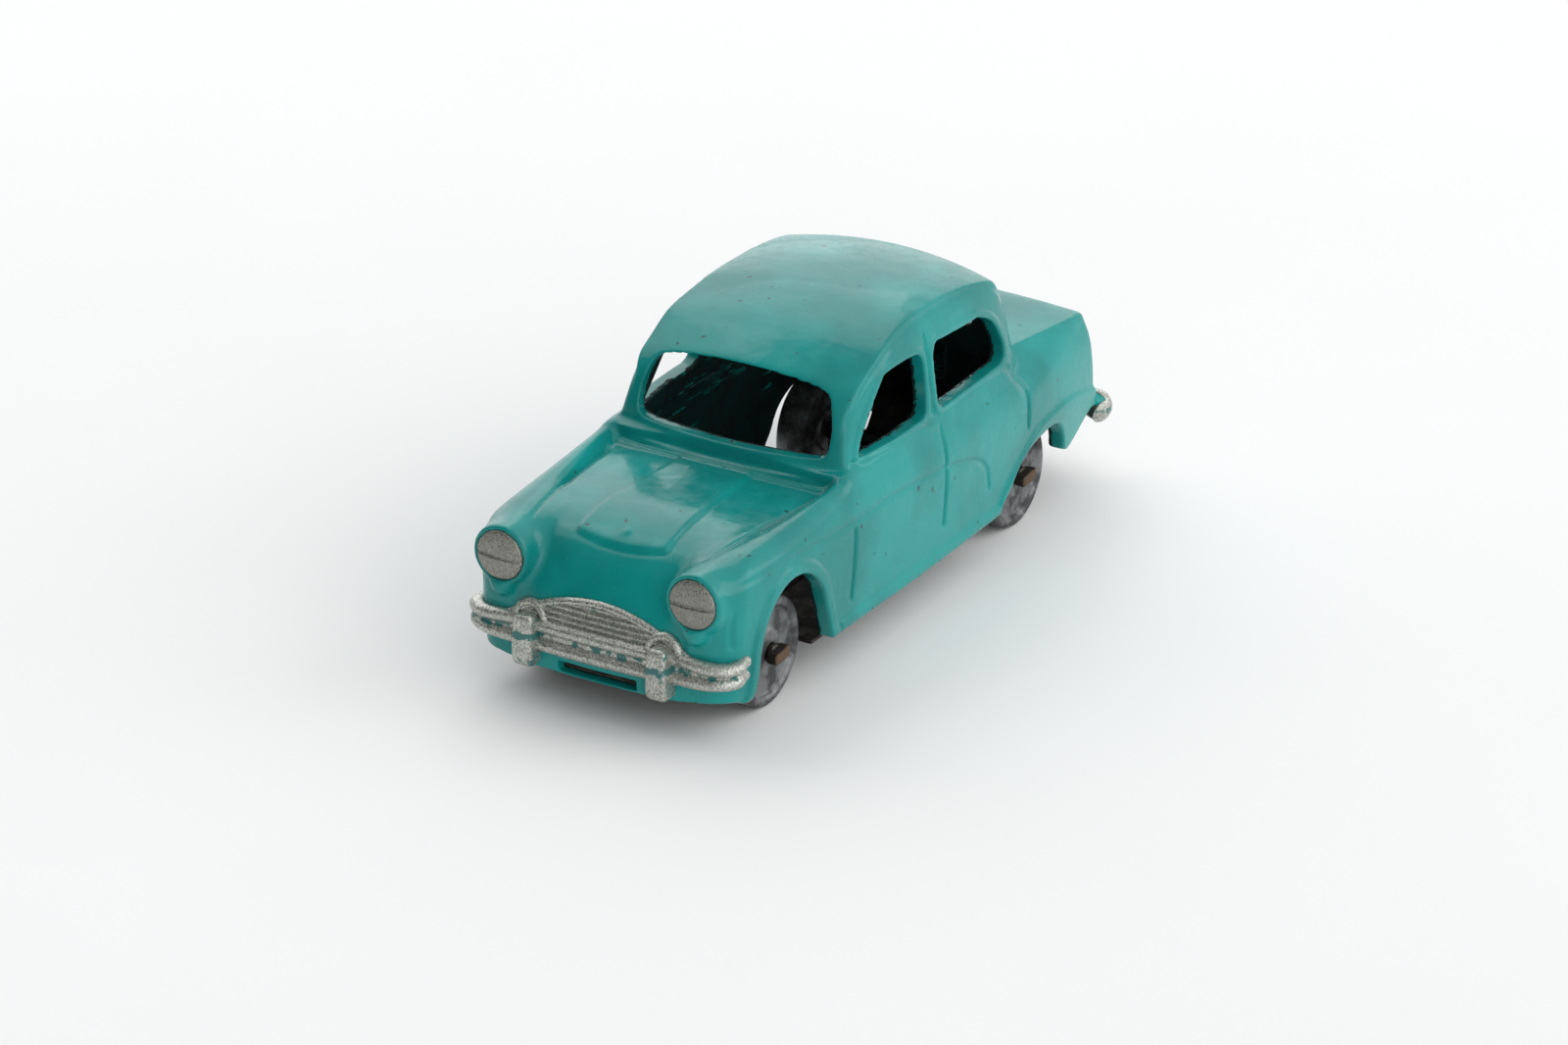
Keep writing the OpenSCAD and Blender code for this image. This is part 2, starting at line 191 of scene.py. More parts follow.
# Soft boxes that face the car: name, place in m, width, height, power
SOFT_BOXES = [
    ("backdrop", (-0.581, -0.331, 0.205), 0.8, 0.36, 0.6),
    ("key", (-0.36, -0.3, 0.52), 0.45, 0.45, 0.85),
    ("left_soft_box", (-0.303, 0.525, 0.35), 0.45, 0.45, 1.1),
    ("right_soft_box", (0, -0.468, 0.52), 0.45, 0.45, 0.7),
    ("front_soft_box", (0.333, 0.577, 0.216), 0.45, 0.45, 0.6),
]
# Glow of the room from behind the car and from its left: direction, strength
ROOM_GLOWS = [((-0.83, -0.48, 0.29), 0.9), ((0.21, 0.95, 0.21), 1.1)]

# Points of the smooth lines that the body is made of: (place along the car or height, value), or
# (x, z) for what is seen from the side. Heights along the middle of the car:
DECK = [
    (-29, 9.5), (-28, 11.4), (-27.2, 13.2), (-26.4, 13.95), (-25, 14.2), (-21, 14.25), (-17, 14.3),
    (-13, 14.3), (-6, 14.3), (4, 14.35), (10.4, 14.35), (11.3, 13.6), (12.2, 13.2), (16, 13.2),
    (20, 13.2), (23, 13.05), (24.8, 12.7), (26.3, 11.9), (27.6, 10.4), (29, 7.5),
]
# Heights of the crests of the wings and fins
CREST = [
    (-14, 14.3), (-8, 14.3), (2, 14.35), (10, 14.3), (12, 13.85), (16, 13.5), (20, 13.25), (26, 12.9),
    (30, 12.7),
]
# Half width where the bonnet meets the wing
SEAM = [(-13, 8.6), (10, 8.6), (13.4, 8.6), (19.3, 8.0), (25.6, 7.1), (28, 6.6)]
# Half width where the boot lid meets the sloping shoulder of the rear wing, and the slope
SHOULDER = [(-28, 9.9), (-26.4, 9.6), (-25, 9.4), (-22.8, 9.1), (-18, 8.4), (-15, 8.2)]
SHOULDER_SLOPE = 0.82
# Half width of the body along the car, and how far its side leans in at each height
HALF_WIDTH = [
    (-30, 9.3), (-28.6, 9.75), (-27, 10.0), (-23, 10.4), (-16, 10.85), (-6, 11.05), (4, 11.1),
    (14, 11.05), (22, 10.95), (25.5, 10.75), (28, 10.3), (30, 9.7),
]
LEAN = [
    (1, 0.6), (3, 0.42), (6, 0.16), (9, 0.0), (11, 0.05), (12.2, 0.25), (13.2, 0.6), (14.4, 1.0),
    (16, 1.8),
]
# How round the edge is between the top and the sides, along the car
EDGE_ROUND = [(-30, 0.35), (-18, 0.35), (-12, 0.9), (10, 0.9), (20, 1.4), (30, 1.8)]
# Front of the body at each height: between the headlamps, and on the wings
NOSE = [
    (1, 28.2), (2.4, 28.4), (4, 28.6), (6.5, 28.6), (8.4, 28.4), (10, 27.8), (11.5, 26.9),
    (12.6, 25.9), (14, 23),
]
WING_FRONT = [
    (1, 28.2), (2.4, 28.4), (6, 28.5), (9, 28.45), (11, 28.2), (12.4, 27.6), (13.4, 26.2), (14.5, 24),
]
TAIL = [(2, -28.2), (5.4, -28.4), (6.6, -28.3), (8, -27.8), (10.8, -27.25), (13, -26.85), (14.5, -26.5)]
# Lower edge of the casting
HEM = [
    (-30, 5.6), (-28.4, 5.6), (-26.2, 6.0), (-23.8, 4.95), (-22.2, 4.3), (-21.4, 4.45), (-20, 3.2),
    (-10.8, 3.15), (2, 3.0), (13.7, 3.0), (24.2, 2.35), (26.5, 2.55), (30, 2.6),
]
# Side view of the cabin along its middle
CABIN = [
    (12.2, 11), (11.7, 12.8), (11.2, 14.4), (10.4, 17), (9.3, 19.3), (7.3, 20.6), (4.2, 21.9),
    (0, 22.65), (-3, 22.8), (-7, 22.66), (-11.2, 22.15), (-13.9, 21.4), (-15.4, 19.6), (-16.5, 16.6),
    (-17.3, 13.6), (-17.8, 11),
]
ROOF_CROWN = 0.0115
CABIN_BOW = 0.0009
# Half width of the cabin at each height, and how much it narrows along the car
CABIN_SIDE = [
    (12, 10.5), (14, 10.25), (15, 10.0), (17, 9.57), (19.3, 9.2), (20.5, 8.92), (21.3, 8.55),
    (21.9, 8.1), (22.7, 7.2), (24, 5.5),
]
CABIN_NARROWING = [
    (-20, 3.2), (-18, 2.2), (-16.5, 1.5), (-15, 0.9), (-12.5, 0.4), (-6, 0.1), (3, 0), (6, 0.2),
    (8.5, 0.55), (10.5, 0.85), (12, 1.3),
]
DRIP_RAIL = [
    (11.3, 13.9), (10.8, 15.4), (9.7, 17.5), (7.4, 19.6), (4, 21.15), (0, 21.9), (-6.5, 21.85), (-11.2, 21.2),
    (-13.9, 20.1), (-15.2, 17.2), (-16, 14.6),
]
BELT = [(9.4, 14.55), (4, 14.4), (-2.1, 14.25), (-8.2, 14.3), (-13.5, 13.9)]
PILLAR_LINE = [(-1.7, 20.4), (-1.5, 14.6)]
# Openings: side windows from the left, windscreen and rear window from the front, wheel arches
FRONT_WINDOW = [
    (8.5, 14.95), (7.3, 16.6), (4.9, 19.1), (3.9, 19.55), (0.4, 19.5), (-0.8, 19.0), (-1.0, 17.4),
    (-0.6, 15.4), (0.1, 14.8), (1.2, 14.75), (6.8, 14.65), (7.8, 14.65),
]
REAR_WINDOW = [
    (-2.3, 15.15), (-2.4, 16.2), (-2.5, 17.8), (-2.6, 18.8), (-3.2, 19.4), (-4.3, 19.35),
    (-8.7, 19.05), (-9.8, 18.95), (-11.9, 17.9), (-13.0, 16.2), (-13.0, 15.1), (-12.2, 14.65),
    (-11, 14.65), (-3.8, 14.65), (-2.8, 14.7),
]
WINDSCREEN = [
    (0, 14.6), (4, 14.65), (6.9, 14.75), (7.7, 15.1), (7.85, 16), (7.75, 17.2), (7.2, 18.7),
    (6.1, 19.25), (3.3, 19.65), (0, 19.8),
]
BACK_WINDOW = [
    (0, 15.6), (3, 15.6), (5, 15.7), (5.75, 16.3), (5.4, 18.2), (4.6, 18.9), (2.5, 19.25), (0, 19.35),
]
FRONT_ARCH = [
    (24.1, 0), (24.2, 4), (24.0, 7), (22.8, 9.2), (20.6, 10.2), (18.2, 9.8), (16.4, 8.2), (15.4, 6.2),
    (14.5, 4.2), (13.7, 2.4), (13.2, 0),
]
REAR_ARCH = [
    (-10.8, 0), (-11.1, 3.3), (-12.2, 4.7), (-13.6, 6.3), (-15.4, 7.2), (-17.4, 7.5), (-19.5, 7.4),
    (-20.7, 6.4), (-21.3, 4.9), (-21.7, 3), (-21.9, 0),
]
# Lower edge of the plain part of the side; below it the lip of the rear arch runs on to the tail
REAR_LIP = [(-10.7, 4.2), (-13.1, 6.3), (-15.6, 8.0), (-17.2, 8.5), (-20.6, 8.7), (-23.1, 8.5), (-27.6, 7.4)]
# Lines pressed into the sides
SWAGE = [
    (27.6, 11.8), (21.7, 11.7), (13.4, 11.3), (4.9, 11.1), (-0.9, 10.6), (-4.6, 9.9), (-6.9, 9.1),
    (-8.3, 7.9), (-8.8, 6.3),
]
DOOR_LINES = [[(11.4, 10.6), (11.5, 5.2)], [(-1.9, 13.6), (-1.9, 5.9)], [(-14.8, 12.9), (-14.8, 8.9)]]
WING_CORNER_LINE = [(27.3, 10.2), (27.2, 7.4)]


class Grid:
    """The grid that fields are being worked out on."""

    step = BODY_STEP


def through(points, closed=False, steps=8):
    """Points of the smooth curve through the given ones."""
    p = np.array(points, float)
    if closed:
        before, after, after2 = np.roll(p, 1, 0), np.roll(p, -1, 0), np.roll(p, -2, 0)
        start = p
    else:
        start, after = p[:-1], p[1:]
        before = np.vstack([p[:1], p[:-2]])
        after2 = np.vstack([p[2:], p[-1:]])
    t = (np.arange(steps) / steps)[None, :, None]
    a, b, c, d = (q[:, None, :] for q in (before, start, after, after2))
    curve = 0.5 * (
        2 * b
        + (c - a) * t
        + (2 * a - 5 * b + 4 * c - d) * t**2
        + (3 * b - a - 3 * c + d) * t**3
    )
    curve = curve.reshape(-1, 2)
    return curve if closed else np.vstack([curve, p[-1:]])


def along(points, at):
    """Value at each place of the smooth line through (place, value) points."""
    line = through(points)
    line = line[np.argsort(line[:, 0])]
    return np.interp(at, line[:, 0], line[:, 1])


def ramp(low, high, at):
    """0 below low, 1 above high, smooth between."""
    t = np.clip((at - low) / (high - low), 0, 1)
    return t * t * (3 - 2 * t)


def ridge(at, height_and_width):
    """Height of a rounded ridge that runs where the distance is zero."""
    height, width = height_and_width
    return height * np.exp(-((at / width) ** 2))


def ball(x, y, z, centre, radius):
    cx, cy, cz = centre
    return np.sqrt((x - cx) ** 2 + (y - cy) ** 2 + (z - cz) ** 2) - radius


def union(a, b, fillet=0.01):
    """Both shapes together, with a rounded corner where they meet."""
    h = np.clip(0.5 + 0.5 * (b - a) / fillet, 0, 1)
    return b + (a - b) * h - fillet * h * (1 - h)


def common(a, b, fillet=0.01):
    """Only what both shapes share, with a rounded edge."""
    return -union(-a, -b, fillet)


def cut(a, b, fillet=0.01):
    """The first shape without the second."""
    return common(a, -b, fillet)


def distance_to_line(points, u, v):
    """Distance from each (u, v) to an open line, which is straight if it has only two points."""
    line = through(points) if len(points) > 2 else np.array(points, float)
    best = np.full(np.broadcast(u, v).shape, 1e9)
    for (u0, v0), (u1, v1) in zip(line[:-1], line[1:]):
        du, dv = u1 - u0, v1 - v0
        t = np.clip(((u - u0) * du + (v - v0) * dv) / (du * du + dv * dv), 0, 1)
        best = np.minimum(best, (u - u0 - t * du) ** 2 + (v - v0 - t * dv) ** 2)
    return np.sqrt(best)


def outline_field(points, u, v):
    """Signed distance from each (u, v) to a closed smooth outline, negative inside."""
    line = through(points, closed=True, steps=5)
    best = np.full(np.broadcast(u, v).shape, 1e9)
    inside = np.zeros(best.shape, bool)
    for (u0, v0), (u1, v1) in zip(line, np.roll(line, -1, 0)):
        du, dv = u1 - u0, v1 - v0
        t = np.clip(((u - u0) * du + (v - v0) * dv) / (du * du + dv * dv), 0, 1)
        best = np.minimum(best, (u - u0 - t * du) ** 2 + (v - v0 - t * dv) ** 2)
        if v0 != v1:
            inside ^= ((v0 > v) != (v1 > v)) & (u < u0 + du * (v - v0) / dv)
    return np.where(inside, -1, 1) * np.sqrt(best)


def mirrored(points):
    """A half outline, from the side to the middle, and its mirror image."""
    other = [(-u, v) for u, v in reversed(points)]
    return points + [p for p in other if p[0] != 0]


def levelled(height, surface):
    """Distance above a surface given as a height, corrected for its slope.

    Axes of length 1 have no slope. For a plain list of places, not a grid, the correction is rough.
    """
    slope2 = 0.0
    for axis, size in enumerate(surface.shape):
        if size > 2:
            slope2 = slope2 + np.gradient(surface, Grid.step, axis=axis) ** 2
    return (height - surface) / np.sqrt(1 + slope2)


def open_grid(lo, hi, step):
    """Places of a grid over a box: three arrays that broadcast together."""
    Grid.step = step
    x, y, z = (np.arange(a, b + step, step, dtype=np.float32) for a, b in zip(lo, hi))
    return x[:, None, None], y[None, :, None], z[None, None, :]


def top_of_body(x, y, detailed):
    """Height of bonnet, wings, waist, boot lid and fins."""
    seam = along(SEAM, x)
    deck = along(DECK, x) - BONNET_CROWN * y**2 * ramp(9, 13, x)
    crest = along(CREST, x) - WING_CROWN * (y - WING_CREST_Y) ** 2
    front = deck + (crest - deck) * ramp(seam - 0.2, seam + 0.9, y)
    shoulder = SHOULDER_SLOPE * np.maximum(y - along(SHOULDER, x), 0)
    rear = deck - BOOT_CROWN * y**2 - shoulder
    height = front + (rear - front) * ramp(-12, -15, x)
    if not detailed:
        return height
    on_bonnet = ramp(BONNET_BACK, BONNET_BACK + 1, x) * ramp(BONNET_FRONT, BONNET_FRONT - 1, x)
    height = height - ridge(y - seam, SEAM_GROOVE) * on_bonnet
    height = height + bonnet_panel(x, y)
    height = height + ridge(np.hypot((x - BADGE_X) * 0.8, y), BADGE)
    bow = 0.008 * y**2
    for ridge_x in COWL_RIDGES_X:
        height = height + ridge(x + bow - ridge_x, COWL_RIDGE) * ramp(9.0, 8.4, y)
    return height


def bonnet_panel(x, y):
    """Height of the raised panel along the middle of the bonnet, which ends in a bowed step."""
    half = PANEL_HALF + 0.06 * (x - 13)
    front = PANEL_FRONT - 0.035 * y**2
    panel = ramp(half + 0.2, half - 0.2, y) * ramp(PANEL_BACK, PANEL_BACK + 0.7, x)
    panel = panel * ramp(0.2, -0.2, x - front)
    rise = PANEL_RISE_BACK + (PANEL_RISE_FRONT - PANEL_RISE_BACK) * ramp(14, 25, x)
    return panel * rise


def side_of_body(x, z, detailed):
    """Half width of the body."""
    half = along(HALF_WIDTH, x) - along(LEAN, z)
    if not detailed:
        return half
    raised = np.maximum(arch_lips(x, z), sill_lip(x, z))
    groove = ridge(distance_to_line(SWAGE, x, z), SWAGE_GROOVE)
    for line in DOOR_LINES:
        groove = np.maximum(groove, ridge(distance_to_line(line, x, z), DOOR_GROOVE))
    groove = np.maximum(groove, ridge(distance_to_line(WING_CORNER_LINE, x, z), CORNER_GROOVE))
    return half + LIP_RISE * raised - groove * (1 - raised)


def arch_lips(x, z):
    """1 on the lips round the wheel arches, of which the rear one runs on to the tail."""
    front = ramp(1.1, 0.85, outline_field(FRONT_ARCH, x, z)) * ramp(2, 3, z)
    edge = along(REAR_LIP, x)
    return np.maximum(front, ramp(edge + 0.15, edge - 0.15, z) * ramp(-10.5, -11.3, x))


def sill_lip(x, z):
    """1 on the narrow step along the bottom of the doors."""
    return ramp(4.1, 3.8, z) * ramp(13.4, 12.6, x) * ramp(-12, -11.2, x)


def nose_of_body(y, z):
    """How far forward the body reaches, with one line between the headlamps and one on the wings."""
    on_wing = ramp(4.9, 6.6, y)
    return along(NOSE, z) * (1 - on_wing) + along(WING_FRONT, z) * on_wing - END_BOW * y**2


def tail_of_body(y, z):
    """How far back the body reaches."""
    return along(TAIL, z) + END_BOW * y**2


def lower_body(x, y, z, detailed=True):
    """Bonnet, wings, doors and boot, as if solid and without an underside."""
    top = levelled(z, top_of_body(x, y, detailed))
    side = levelled(y, side_of_body(x, z, detailed))
    front = levelled(x, nose_of_body(y, z))
    rear = levelled(-x, -tail_of_body(y, z))
    body = common(top, side, along(EDGE_ROUND, x))
    body = common(body, front, NOSE_ROUND)
    return common(body, rear, TAIL_ROUND)


def headlamp_pod(x, y, z):
    """Round housing that runs back into the wing, slightly outwards and downwards."""
    round_lamp = np.hypot(y - LAMP_Y - 0.03 * (LAMP_X - x), z - LAMP_Z + 0.02 * (LAMP_X - x))
    face = x - LAMP_X - 0.12
    return common(common(round_lamp - POD_R, face, 0.35), POD_BACK - x, 2)


def lamp_seat(x, y, z):
    """Hollow in the front of the pod that the headlamp sits in."""
    round_lamp = np.hypot(y - LAMP_Y, z - LAMP_Z)
    return common(round_lamp - LAMP_R, LAMP_X - LAMP_SEAT - x, 0.1)


def cabin(x, y, z, detailed=True):
    """Roof, pillars and windscreen surround, as if solid."""
    # The plan of the cabin is bowed at both ends, and its roof is crowned
    bowed_x = x * (1 + CABIN_BOW * y**2)
    crowned_z = z + ROOF_CROWN * y**2
    first_u, first_v, step = -20, 8, 0.1
    us = np.arange(first_u, 15, step)
    vs = np.arange(first_v, 26, step)
    profile = outline_field(CABIN, us[:, None], vs[None, :])
    view = looked_up(profile, (bowed_x - first_u) / step, (crowned_z - first_v) / step)
    half = along(CABIN_SIDE, z) - along(CABIN_NARROWING, x)
    if detailed:
        half = half + cabin_relief(x, z)
    return common(view, levelled(y, half), 0.4)


def cabin_relief(x, z):
    """Height of the drip rail, waist line, pillar line and window rims on the side of the cabin."""
    rail = distance_to_line(DRIP_RAIL, x, z)
    relief = ridge(rail, DRIP_RIDGE) - ridge(rail - 0.5, DRIP_GROOVE)
    relief = relief - ridge(distance_to_line(BELT, x, z), BELT_GROOVE)
    for window in (FRONT_WINDOW, REAR_WINDOW):
        relief = relief + WINDOW_RIM_RISE * ramp(0.7, 0.5, outline_field(window, x, z))
    return relief - ridge(distance_to_line(PILLAR_LINE, x, z), PILLAR_GROOVE)


def looked_up(field, u, v):
    """Values of a 2D field at fractional places, straight between its samples."""
    u, v = np.broadcast_arrays(u, v)
    u = np.clip(u, 0, field.shape[0] - 1.001)
    v = np.clip(v, 0, field.shape[1] - 1.001)
    i, j = u.astype(int), v.astype(int)
    s, t = u - i, v - j
    low = field[i, j] * (1 - s) + field[i + 1, j] * s
    high = field[i, j + 1] * (1 - s) + field[i + 1, j + 1] * s
    return low * (1 - t) + high * t


def window_openings(x, y, z):
    """Side windows, windscreen and rear window, each cut only where its own wall is."""
    side = union(outline_field(FRONT_WINDOW, x, z), outline_field(REAR_WINDOW, x, z))
    side = common(side, SIDE_CUT_Y - y)
    screen = common(outline_field(mirrored(WINDSCREEN), y, z), SCREEN_CUT_X - x)
    back = common(outline_field(mirrored(BACK_WINDOW), y, z), x - BACK_CUT_X)
    return union(side, union(screen, back))


def wheel_arches(x, y, z):
    """Openings in the side of the casting, seen from the side."""
    arches = union(outline_field(FRONT_ARCH, x, z), outline_field(REAR_ARCH, x, z))
    return common(arches, ARCH_CUT_Y - y)


def valance_slot(x, y, z):
    """Slot through the panel below the front bumper."""
    across = np.maximum(y - SLOT_HALF, np.abs(z - SLOT_Z) - SLOT_HALF_HEIGHT)
    return np.maximum(across, SLOT_BACK - x)


def posts(x, y, z):
    """The two posts that the base plate is riveted to, with their peened heads."""
    field = 1e9
    for post_x, plate in POSTS:
        r = np.hypot(x - post_x, y)
        shank = np.maximum(r - SHANK_R, np.maximum(plate + SHANK_END - z, z - POST_TOP))
        neck = np.maximum(r - NECK_R, np.maximum(plate + NECK_END - z, z - POST_TOP))
        head = common(r - HEAD_R, np.abs(z - plate - HEAD_MIDDLE) - HEAD_HALF_HEIGHT, 0.3)
        field = union(field, union(union(shank, neck), head))
    return field


def tail_lamp_pod(x, y, z):
    """Short round housing on the tail."""
    cx, cy, cz = TAIL_LAMP
    middle_x = cx + TAIL_POD_HALF_LENGTH
    along_x = np.abs(x - middle_x) - TAIL_POD_HALF_LENGTH
    return common(np.hypot(y - cy, z - cz) - TAIL_LAMP_R - 0.2, along_x, 0.2)


def hem_height(x, y):
    """Lower edge of the casting. Behind the rear bumper it reaches down as far as the plate."""
    hem = along(HEM, x) + 0.4 * ramp(5, 9.5, y) * ramp(24.5, 27.6, x)
    return hem - ramp(-26.2, -26.9, x) * ramp(8.4, 7.8, y)


def body_casting(x, y, z):
    """The whole casting: a wall under the outer surface, its openings, and the posts inside."""
    lower = union(lower_body(x, y, z), headlamp_pod(x, y, z), 0.8)
    lower = union(lower, ball(x, y, z, LAMP_BLISTER, LAMP_BLISTER_R), 0.5)
    lower = union(lower, tail_lamp_pod(x, y, z), 0.4)
    outside = union(lower, cabin(x, y, z), 0.3)
    plain = union(lower_body(x, y, z, False), cabin(x, y, z, False), 0.4)
    shell = cut(outside, plain + WALL, 0.25)
    shell = union(shell, ball(x, y, z, TAIL_BALL, TAIL_BALL_R), 0.25)
    shell = common(shell, hem_height(x, y) - z, 0.3)
    shell = cut(shell, window_openings(x, y, z), 0.22)
    shell = cut(shell, wheel_arches(x, y, z), 0.25)
    shell = cut(shell, valance_slot(x, y, z), 0.1)
    shell = cut(shell, lamp_seat(x, y, z), 0.05)
    return union(shell, posts(x, y, z), 0.15)


def front_bumper(x, y, z):
    """Two ribs with a web between them, which stand further off the body at its corners."""
    surface = lower_body(x, y, z, False)
    corner = ramp(6, 9, y) * ramp(26, 27.6, x)
    off = 0.1 + 0.27 * corner - 0.25 * ramp(27, 25.6, x)
    # The ribs draw together at the ends
    end = 0.2 * ramp(6.5, 10.5, y)
    lower = np.hypot(surface - off, z - LOWER_RIB - end) - RIB_R
    upper = np.hypot(surface - off, z - UPPER_RIB + end) - RIB_R
    web = np.maximum(np.abs(surface - off + 0.1) - 0.2, np.abs(z - RIB_HOLLOW) - WEB_HALF_HEIGHT)
    # A bead loops over the top of each overrider
    loop = np.hypot(y - OVERRIDER_Y, (z - LOOP_Z) * 0.95) - LOOP_R
    bead = np.maximum(np.hypot(surface - 0.15, loop) - LOOP_BEAD_R, 6.0 - z)
    bumper = union(union(lower, upper, 0.2), union(web, bead, 0.1), 0.15)
    return common(bumper, BUMPER_BACK - x, 0.2)


def overrider(x, y, z, lowest=3.05, highest=6.95):
    """Upright guard with rounded edges and a bowed face, narrowing upwards."""
    across = np.abs(y - OVERRIDER_Y) - OVERRIDER_HALF + 0.03 * (z - 5)
    upright = np.maximum(lowest - z, z - highest)
    face = x - OVERRIDER_FRONT + 0.06 * (z - 5) ** 2
    guard = common(common(across, upright, 0.5), face, 0.35)
    return common(guard, OVERRIDER_BACK - x, 0.1)


def grille(x, y, z):
    """Lens-shaped panel of bars, with a bead along its upper edge."""
    rise = GRILLE_TOP - GRILLE_LOW
    top = GRILLE_LOW + rise * (1 - (y / GRILLE_HALF) ** 2)
    lens = (z - top) / np.sqrt(1 + (2 * rise * y / GRILLE_HALF**2) ** 2)
    surface = lower_body(x, y, z, False)
    bars = BAR_DEPTH * np.cos(2 * np.pi * (z - GRILLE_LOW) / BAR_PITCH)
    panel = np.maximum(surface - 0.18 - bars * ramp(0, -0.3, lens), -surface - 0.4)
    panel = common(panel, np.maximum(lens, GRILLE_LOW - 0.3 - z), 0.1)
    bead = np.maximum(np.hypot(surface - 0.1, lens) - 0.24, GRILLE_LOW - z)
    return np.maximum(union(panel, bead, 0.08), 26 - x)


def headlamp(x, y, z):
    """Domed lens with a seam across it."""
    across, up = y - LAMP_Y, z - LAMP_Z
    seam = ridge(up + 0.1 - 0.03 * across, LAMP_SEAM)
    dome = 0.42 - 0.07 * (across**2 + up**2) - seam
    disc = np.maximum(np.hypot(across, up) - LAMP_R, LAMP_X - LAMP_SEAT - x)
    return common(disc, x - LAMP_X - dome, 0.2)


def rear_bumper(x, y, z):
    """A rib across the tail, and the silver on the back and the outer end of each ball."""
    surface = lower_body(x, y, z, False)
    bar = np.hypot((surface - 0.1) * 1.1, z - REAR_RIB) - REAR_RIB_R
    bar = np.maximum(bar, y - REAR_RIB_HALF)
    cap = np.abs(ball(x, y, z, TAIL_BALL, TAIL_BALL_R)) - 0.09
    cx, cy, cz = TAIL_BALL
    tx, ty, tz = CAP_TOWARDS
    behind = x - cx - 0.15 * (z - 5)
    outer = CAP_FROM - ty * (y - cy) - tx * (x - cx) - tz * (z - cz)
    cap = common(cap, np.minimum(behind, outer), 0.1)
    return np.minimum(common(bar, x + 27.6, 0.1), cap)


def rear_overrider(x, y, z):
    """The same guard on the tail, shorter and higher up."""
    return overrider(-x, y, z, lowest=4.2, highest=7.2)


def tail_lamp(x, y, z):
    """Small domed lens that faces back."""
    cx, cy, cz = TAIL_LAMP
    r = np.hypot(y - cy, z - cz)
    disc = np.maximum(r - TAIL_LAMP_R, x - cx - 0.1)
    return common(disc, cx - TAIL_LAMP_RISE + 0.2 * r**2 - x, 0.12)


def base_plate(x, y, z):
    """Pressed plate with ribs, a dished rivet seat, a stepped tail and four ears for the axles."""
    step = (TAIL_PLATE_Z - PLATE_Z) * ramp(-20.2, -22.6, x)
    dish = DISH_DEPTH * ramp(3.0, 2.1, np.hypot(x - POSTS[0][0], y))
    rib = 0.22 * ramp(1.1, 0.8, np.abs(y - 2.6)) * ramp(17.0, 16.6, x) * ramp(-12.6, -12.2, x)
    low = PLATE_Z + step + dish + rib
    sheet = np.abs(levelled(z, low + PLATE_T / 2)) - PLATE_T / 2
    plan = 1e9
    for rear, front, half in PLATE_PANELS:
        plan = union(plan, np.maximum(np.maximum(x - front, rear - x), y - half))
    plate = common(sheet, plan, 0.12)
    for post_x, _ in POSTS:
        plate = np.maximum(plate, RIVET_HOLE_R - np.hypot(x - post_x, y))
    for axle_x in AXLE_X.values():
        plate = union(plate, axle_ear(x, y, z, axle_x), 0.15)
    return plate


def axle_ear(x, y, z, axle_x):
    """Upturned ear with a round top and a hole for the axle."""
    r = np.hypot(x - axle_x, z - AXLE_Z)
    stem = np.maximum(np.abs(x - axle_x) - EAR_R, np.maximum(z - AXLE_Z, PLATE_Z + 0.2 - z))
    ear = common(union(r - EAR_R, stem), np.abs(y - EAR_Y) - EAR_HALF, 0.12)
    return np.maximum(ear, BORE_R - r)


def axle(x, y, z, axle_x):
    """Wire whose ends are hammered flat."""
    r = np.hypot(x - axle_x, z - AXLE_Z)
    wire = np.maximum(r - AXLE_R, y - WIRE_END)
    spread = 0.95 - 0.25 * ramp(WIRE_END, 9.2, y) + 0.06 * (y - 9.8)
    flat = np.abs(z - AXLE_Z - 0.1 * (axle_x - x)) - FLAT_HALF
    flat = common(np.abs(x - axle_x) - spread, flat, 0.2)
    end = common(flat, y - AXLE_END + 0.08 * (x - axle_x) ** 2, 0.15)
    return union(wire, common(end, 9.35 - y, 0.15), 0.25)


def mesh_of(name, field, lo, hi, step, triangles, mirror=True):
    """Mesh object of a field, worked out over a box in mm and then mirrored in y = 0 if asked."""
    x, y, z = open_grid(lo, hi, step)
    values = np.broadcast_to(field(x, y, z), (x.size, y.size, z.size)).astype(np.float32)
    start = list(lo)
    if mirror:
        values = np.concatenate([values[:, :0:-1, :], values], axis=1)
        start[1] = -float(y.ravel()[-1])
    band = 3 * step
    values = np.ascontiguousarray(np.clip(values, -band, band))
    grid = openvdb.FloatGrid(band)
    grid.copyFromArray(values, tolerance=0)
    points, quads = grid.convertToQuads(isovalue=0)
    points = np.array(points) * step + np.array(start)
    mesh = bpy.data.meshes.new(name)
    mesh.from_pydata((points * MM).tolist(), [], quads.tolist())
    mesh.update()
    obj = bpy.data.objects.new(name, mesh)
    bpy.context.scene.collection.objects.link(obj)
    thin_out(obj, triangles)
    set_normals(obj.data, values, np.array(start), step)
    return obj


def thin_out(obj, triangles):
    """Lowers the number of triangles where the surface is plain."""
    count = sum(len(p.vertices) - 2 for p in obj.data.polygons)
    if count <= triangles:
        return
    modifier = obj.modifiers.new("thin_out", "DECIMATE")
    modifier.ratio = triangles / count
    depsgraph = bpy.context.evaluated_depsgraph_get()
    thinned = bpy.data.meshes.new_from_object(obj.evaluated_get(depsgraph))
    obj.modifiers.clear()
    obj.data = thinned


